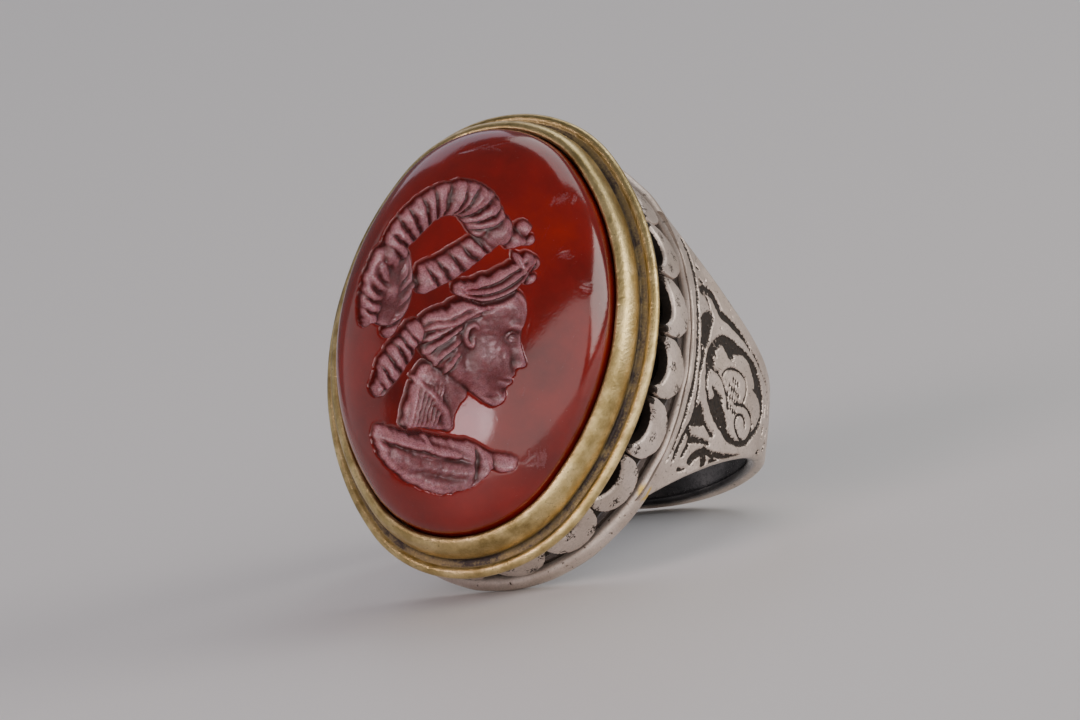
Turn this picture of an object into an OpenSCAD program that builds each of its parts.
// Intaglio ring: a high domed carnelian with a bust cut into it, in a gilt bezel, on a silver ring
// with broad shoulders and a pierced, scalloped gallery.
// Every piece is modelled in the ring's own axes and then laid down in the way the ring rests:
// X runs across the finger, Y along the finger and the long axis of the bezel, Z out through the stone.
// The ring's own origin is the middle of the finger hole.

/* [Finger hole] */
// Radius of the round part of the finger hole
hole_r = 9.8; // [9.2:0.1:10.2]
// Height of the flat roof of the finger hole over its middle
hole_roof = 7.4; // [7.0:0.1:7.8]

/* [Shank and shoulders] */
// Outer radius of the shank
shank_r = 10.95; // [10.9:0.05:11.4]
// Half the width of the shank where it is narrowest
shank_half_w = 1.95; // [1.6:0.05:2.6]
// Distance below the middle of the finger hole at which the shank is narrowest
shank_narrow_z = 9; // [7:0.5:11]
// Radius of the hollow curve along both edges of a shoulder, seen from the side
shoulder_curve_r = 22.3; // [20:0.1:25]

/* [Head] */
// Half the length of the silver head
head_a = 13.0; // [12.8:0.1:13.4]
// Half the width of the silver head
head_b = 10.7; // [10.5:0.1:11]
// Radius of the round ends of the silver head
head_end_r = 8.8; // [8.4:0.1:9.2]
// Height of the underside of the head's rim over the middle of the finger hole
rim_z = 6.2; // [5.8:0.1:6.6]
// Radius of the round rim along the foot of the gallery
rim_r = 0.6; // [0.5:0.05:0.7]
// Thickness of the floor of the head
floor_t = 0.8; // [0.6:0.1:1]

/* [Gallery] */
// Height of the top of the gallery over the middle of the finger hole
gallery_top = 10.4; // [10.2:0.1:10.6]
// Thickness of the gallery wall
gallery_t = 0.85; // [0.7:0.05:1]
// Number of scallops round the gallery
scallops = 20; // [16:2:24]
// Radius of the half-moon opening in each scallop
moon_r = 1.5; // [1.2:0.05:1.6]
// Radius of the outer edge of each scallop
scallop_r = 1.97; // [1.95:0.01:2.1]
// Depth of the three-cornered recess between two scallops
recess_t = 0.4; // [0.3:0.05:0.5]

/* [Bezel] */
// Half the length of the stone at the edge of the collar
stone_a = 12.1; // [11.8:0.1:12.3]
// Half the width of the stone at the edge of the collar
stone_b = 8.5; // [8.2:0.1:8.8]
// Radius of the round ends of the stone
stone_end_r = 6.6; // [6.2:0.1:7]
// Height of the stone's edge over the middle of the finger hole
collar_z = 13.0; // [12.8:0.1:13.4]
// Width of the collar, from the stone to the groove
collar_w = 0.85; // [0.7:0.05:1]
// Width of the whole bezel outside the stone
flange_w = 1.85; // [1.7:0.05:2]
// Thickness of the plate under the stone
plate_t = 0.5; // [0.4:0.05:0.7]
// Gap that is left between two pieces
fit_gap = 0.1; // [0.05:0.05:0.2]

/* [Stone] */
// Height of the dome over the collar
dome_h = 3.9; // [3.4:0.1:4.4]
// Number of sides of the stone's outline
stone_sides = 88; // [48:4:96]
// Number of rings of facets over the dome
dome_rings = 42; // [30:1:48]

/* [Rest] */
// How far the finger hole leans back from upright when the ring rests
rest_tilt = 32.5; // [25:0.1:40]
// How far the ring leans over to its left side when it rests
rest_lean = 0; // [0:0.1:16]
// Height of the middle of the finger hole over the surface when the ring rests
rest_h = 7.61; // [7:0.01:10]
// Sideways place of the middle of the finger hole
rest_x = 0; // [-3:0.01:3]
// Place of the middle of the finger hole from front to back
rest_y = 4; // [-8:0.01:8]

/* [Hidden] */
$fn = 96;
silver = [0.75, 0.70, 0.66];
gilt = [0.78, 0.66, 0.42];
carnelian = [0.48, 0.06, 0.05];

// Foot of the bezel, which stands just clear of the gallery
bezel_z = gallery_top + fit_gap;
seat_z = bezel_z + plate_t;
flange_z = bezel_z + 0.35;
groove_z = collar_z - 1.3;
bead_r = 0.38;
rim_mid_z = rim_z + rim_r;
hoop_top = rim_mid_z + 0.15;
wall_z = rim_mid_z + 0.5;
outline_sides = 96;
dome_power = 2.3;
rim_out = 0.25;
thin = 0.02;
hole_len = 2 * head_a + 10;
pierce_len = 3;
wall_mid = -gallery_t / 2;
// Heights of the middles of the openings and of the scallops round them
moon_mid_z = gallery_top + 0.45;
scallop_mid_z = gallery_top - 0.8;
recess_foot = scallop_mid_z - scallop_r;
// How far the shoulders stand outside the head's oval, and its roof inside it
shoulder_out = 0.05;
roof_in = 1;
// Height of the foot of the head's floor, inside the rim
floor_foot_z = rim_mid_z + 0.1;
// Rounding along the top of the collar, and how far the bead turns in above and below its middle
collar_round = 0.4;
bead_turn = 0.1;

// Lines of the carving, as points [x, y] over the stone
roll_inner = [[-2.6, 2.6], [-2.5, 3.4], [-2.2, 4.4], [-1.2, 5.4], [-0.1, 5.8], [0.9, 5.2], [1.7, 4.0]];
roll_outer = [[-4.6, 4.2], [-4.8, 5.4], [-3.6, 6.8], [-1.8, 7.8], [0.3, 7.8], [1.7, 7.2], [2.7, 5.8]];
small_roll_low = [[-1.4, 1.4], [-0.1, 1.7], [1.0, 2.4], [2.6, 3.0]];
small_roll_high = [[-1.4, 2.9], [-0.5, 3.2], [0.5, 3.7], [2.2, 4.0]];
lock_front = [[-1.7, -1.4], [-2.0, -2.3], [-2.7, -3.2], [-3.6, -3.9]];
lock_back = [[-2.7, -0.9], [-3.4, -1.8], [-4.1, -2.7], [-4.6, -3.6]];
band_line = [[0.7, 1.2], [2.0, 1.1], [3.2, 1.5], [4.0, 2.0], [4.6, 2.7]];
collar_fold = [[-3.6, -7.2], [-1.8, -8.4], [0.4, -9.2], [2.2, -9.2]];
knot_mid = [-4.6, 2.6];

// Point at part s of the way along a line of points
function along(line, s) =
    let (
        run = s * (len(line) - 1),
        i = min(floor(run), len(line) - 2),
        f = run - i
    )
    line[i] * (1 - f) + line[i + 1] * f;

// Row of furrows between an inner and an outer line, which read as a ribbed roll of hair.
// A furrow is given as [from, to, half width, depth].
function ribs(inner, outer, count, half_w, depth) = [for (i = [0 : count - 1])
    let (s = (i + 0.5) / count) [along(inner, s), along(outer, s), half_w, depth]];

// Furrows that follow a line of points
function strand(line, half_w, depth) =
    [for (i = [0 : len(line) - 2]) [line[i], line[i + 1], half_w, depth]];

knot_ribs = [for (a = [20 : 40 : 340])
    [knot_mid + [0.6 * cos(a), 0.8 * sin(a)], knot_mid + [1.2 * cos(a), 1.8 * sin(a)], 0.35, 0.85]];

furrows = concat(
    ribs(roll_inner, roll_outer, 13, 0.42, 0.75),
    ribs(small_roll_low, small_roll_high, 6, 0.38, 0.75),
    ribs(lock_front, lock_back, 4, 0.4, 0.7),
    strand(band_line, 0.6, 0.8),
    strand(collar_fold, 0.35, 1.2),
    knot_ribs
);

// Hollows of the carving: [x, y, half length, half width, turn, depth].
// The head looks to the right and is bowed a little. It is divided in the usual thirds from
// hairline to brow, brow to foot of the nose, and foot of the nose to chin.
hollows = [
    // Ground of the roll, the knot, and the puffs of hair over the brow
    [-0.9, 5.2, 3.4, 2.4, 20, 0.45],
    [-4.6, 2.6, 1.6, 2.1, 15, 0.6],
    [2.9, 4.1, 0.8, 0.6, -45, 0.6],
    [3.9, 4.3, 0.5, 0.6, 0, 0.4],
    // Hair behind the cheek
    [-1.2, -0.6, 1.4, 0.9, 35, 0.7],
    // Cheek, forehead, nose, lips and chin
    [1.7, -2.0, 3.2, 3.0, -60, 1.3],
    [3.6, -0.3, 1.3, 1.2, -30, 0.9],
    [4.3, -2.9, 0.9, 0.6, -50, 0.7],
    [3.8, -4.1, 0.7, 0.5, -10, 0.75],
    [3.0, -5.0, 1.1, 0.8, -10, 0.95],
    // Neck and the draped end of the bust
    [-0.6, -5.2, 1.2, 2.3, -10, 0.9],
    [-0.7, -8.0, 3.9, 1.9, -14, 1.0],
    // Old chips in the polish
    [5.7, 6.7, 0.6, 0.4, 30, 0.12],
    [6.4, 3.1, 0.4, 0.5, 0, 0.12],
    [5.2, -8.4, 0.6, 0.4, -30, 0.14],
    [3.4, -8.9, 0.45, 0.3, -40, 0.3]
];

// Depth of one hollow and of one furrow at a point, and of the whole carving
function hollow_depth(p, h) =
    let (
        across = p[0] - h[0],
        up = p[1] - h[1],
        u = (across * cos(h[4]) + up * sin(h[4])) / h[2],
        v = (up * cos(h[4]) - across * sin(h[4])) / h[3]
    )
    h[5] * sqrt(max(0, 1 - u * u - v * v));
function furrow_depth(p, f) =
    let (
        run = f[1] - f[0],
        t = max(0, min(1, ((p - f[0]) * run) / (run * run))),
        away = norm(p - f[0] - t * run) / f[2]
    )
    f[3] * sqrt(max(0, 1 - away * away));
function carved(p) = max(concat([0],
    [for (h = hollows) hollow_depth(p, h)],
    [for (f = furrows) furrow_depth(p, f)]));

// An oval of four arcs is given as [half length, half width, radius of the ends].
// Its long axis is Y, and a side arc and an end arc meet without a corner.
head = [head_a, head_b, head_end_r];
girdle = [stone_a, stone_b, stone_end_r];

// Radius of the two side arcs of an oval
function side_r(o) = (pow(o[0] - o[2], 2) + pow(o[1], 2) - pow(o[2], 2)) / (2 * (o[1] - o[2]));

// Angle from X at which a side arc meets an end arc
function turn_at(o) = atan2(o[0] - o[2], side_r(o) - o[1]);

// Lengths of half a side arc and of half an end arc
function side_len(o) = side_r(o) * turn_at(o) * PI / 180;
function end_len(o) = o[2] * (90 - turn_at(o)) * PI / 180;

// The oval that lies a distance g outside another one
function grown(o, g) = [o[0] + g, o[1] + g, o[2] + g];

// Point [x, y, direction outwards] of an oval, where s runs from 0 on the X axis to 1 on the Y axis
function quarter_point(o, s) =
    let (
        run = s * (side_len(o) + end_len(o)),
        on_side = run <= side_len(o),
        a = on_side ? run / side_r(o) * 180 / PI : turn_at(o) + (run - side_len(o)) / o[2] * 180 / PI
    )
    on_side
        ? [side_r(o) * cos(a) - (side_r(o) - o[1]), side_r(o) * sin(a), a]
        : [o[2] * cos(a), o[0] - o[2] + o[2] * sin(a), a];

// Point [x, y, direction outwards] of an oval, where t runs once round from 0 to 1
function oval_point(o, t) =
    let (
        q = floor(t * 4),
        f = t * 4 - q,
        p = quarter_point(o, q % 2 == 0 ? f : 1 - f)
    )
    q == 0 ? p
    : q == 1 ? [-p[0], p[1], 180 - p[2]]
    : q == 2 ? [-p[0], -p[1], 180 + p[2]]
    : [p[0], -p[1], -p[2]];

// Outline of an oval as a polygon of many short sides
module oval_outline(o) {
    polygon([for (i = [0 : outline_sides - 1])
        let (p = oval_point(o, (i + 0.5) / outline_sides)) [p[0], p[1]]]);
}

// Solid drum on an oval, from z0 to z1
module drum(o, z0, z1) {
    translate([0, 0, z0]) linear_extrude(height = z1 - z0) oval_outline(o);
}

// Solid with a convex profile round an oval, given as levels [distance outside the oval, height]
module barrel(o, levels) {
    hull() {
        for (level = levels)
            drum(grown(o, level[0]), level[1] - thin, level[1]);
    }
}

// Lays the ring down in the way it rests
module at_rest() {
    translate([rest_x, rest_y, rest_h]) rotate([0, -rest_lean, 0]) rotate([90 - rest_tilt, 0, 0])
        children();
}

// Seen along the finger: the outside of the hoop, with straight sides up to the head
module hoop_outline() {
    rotate([90, 0, 0]) cylinder(r = shank_r, h = hole_len, center = true);
    translate([-shank_r, -hole_len / 2, 0]) cube([2 * shank_r, hole_len, rim_mid_z + rim_r]);
}

// Seen from the side: what stays between the two hollow curves
module shoulder_outline() {
    difference() {
        translate([-shank_r - 1, -head_a, -shank_r - 1])
            cube([2 * shank_r + 2, 2 * head_a, shank_r + 1 + hoop_top]);
        for (side = [-1, 1])
            translate([0, side * (shoulder_curve_r + shank_half_w), -shank_narrow_z]) rotate([0, 90, 0])
                cylinder(r = shoulder_curve_r, h = 2 * shank_r + 4, center = true);
    }
}

// Shank and shoulders, still without the finger hole
module hoop() {
    intersection() {
        hoop_outline();
        shoulder_outline();
        drum(grown(head, shoulder_out), -shank_r - 1, rim_mid_z + rim_r);
    }
}

// Half-moon openings: the lower parts of round holes, open at the top of the wall
module moons() {
    for (i = [0 : scallops - 1])
        let (p = oval_point(grown(head, wall_mid), (i + 0.5) / scallops))
            translate([p[0], p[1], moon_mid_z]) rotate([0, 90, p[2]])
                cylinder(r = moon_r, h = pierce_len, center = true);
}

// Three-cornered recesses with two hollow sides, one between each two scallops
module recesses() {
    pitch = 4 * (side_len(head) + end_len(head)) / scallops;
    for (i = [0 : scallops - 1])
        let (p = oval_point(head, i / scallops))
            translate([p[0], p[1], 0]) rotate([0, 0, p[2]]) difference() {
                translate([-recess_t, -pitch / 2, recess_foot])
                    cube([recess_t + pierce_len, pitch, scallop_mid_z - recess_foot]);
                for (side = [-1, 1])
                    translate([0, side * pitch / 2, scallop_mid_z]) rotate([0, 90, 0])
                        cylinder(r = scallop_r, h = 3 * pierce_len, center = true);
            }
}

// Open space of the finger hole: round below, with a flat roof under the head
module finger_hole() {
    intersection() {
        rotate([90, 0, 0]) cylinder(r = hole_r, h = hole_len, center = true);
        union() {
            translate([-hole_r - 1, -hole_len / 2, -hole_r - 1])
                cube([2 * hole_r + 2, hole_len, hole_r + 1 + rim_z]);
            drum(grown(head, -roof_in), rim_z - 1, hole_roof);
        }
    }
}

// Upright wall of the gallery, with its openings and recesses
module gallery() {
    difference() {
        translate([0, 0, wall_z]) linear_extrude(height = gallery_top - wall_z) difference() {
            oval_outline(head);
            oval_outline(grown(head, -gallery_t));
        }
        moons();
        recesses();
    }
}

// Rim of the head, rounded on the outside
module rim() {
    barrel(head, [for (a = [-90 : 30 : 90])
        [rim_out + rim_r * (cos(a) - 1), rim_mid_z + rim_r * sin(a) + (a < 0 ? thin : 0)]]);
}

module band() {
    color(silver) at_rest() difference() {
        union() {
            hoop();
            rim();
            drum(grown(head, wall_mid), floor_foot_z, hole_roof + floor_t);
            gallery();
        }
        finger_hole();
    }
}

// Collar round the stone, with a rounded top
module collar() {
    barrel(girdle, [
        [collar_w, bezel_z + thin],
        [collar_w, collar_z - collar_round],
        [collar_w - collar_round / 4, collar_z - collar_round * 3 / 8],
        [collar_w - collar_round * 7 / 8, collar_z]
    ]);
}

// Flange that slopes down from the groove to a round bead
module flange() {
    barrel(girdle, [
        [flange_w - bead_r, bezel_z + thin],
        [flange_w - bead_turn, flange_z - bead_r / 2 + thin],
        [flange_w, flange_z + bead_turn / 2],
        [flange_w - bead_turn, flange_z + 3 * bead_turn],
        [flange_w - bead_r, flange_z + bead_r],
        [collar_w, groove_z]
    ]);
}

module bezel() {
    color(gilt) at_rest() difference() {
        union() {
            flange();
            collar();
        }
        drum(grown(girdle, fit_gap), seat_z, collar_z + 1);
    }
}

// The stone: a short upright edge and a dome in rings of facets, sunk where it is carved
module stone() {
    n = stone_sides;
    outline = [for (i = [0 : n - 1]) oval_point(girdle, (i + 0.17) / n)];
    foot = [for (p = outline) [p[0], p[1], seat_z + thin]];
    shell = [for (j = [0 : dome_rings - 1]) for (p = outline)
        let (k = sin(90 * (dome_rings - j) / dome_rings), q = [p[0], p[1]] * k)
            [q[0], q[1], collar_z + dome_h * sqrt(max(0, 1 - pow(k, dome_power))) - carved(q)]];
    top = [[0, 0, collar_z + dome_h - carved([0, 0])]];
    color(carnelian) at_rest() polyhedron(concat(foot, shell, top), concat(
        [[for (i = [0 : n - 1]) i]],
        [for (j = [0 : dome_rings - 1]) for (i = [0 : n - 1])
            let (a = j * n + i, b = j * n + (i + 1) % n) [a, a + n, b + n]],
        [for (j = [0 : dome_rings - 1]) for (i = [0 : n - 1])
            let (a = j * n + i, b = j * n + (i + 1) % n) [a, b + n, b]],
        [for (i = [0 : n - 1])
            [dome_rings * n + i, (dome_rings + 1) * n, dome_rings * n + (i + 1) % n]]
    ));
}

band();
bezel();
stone();
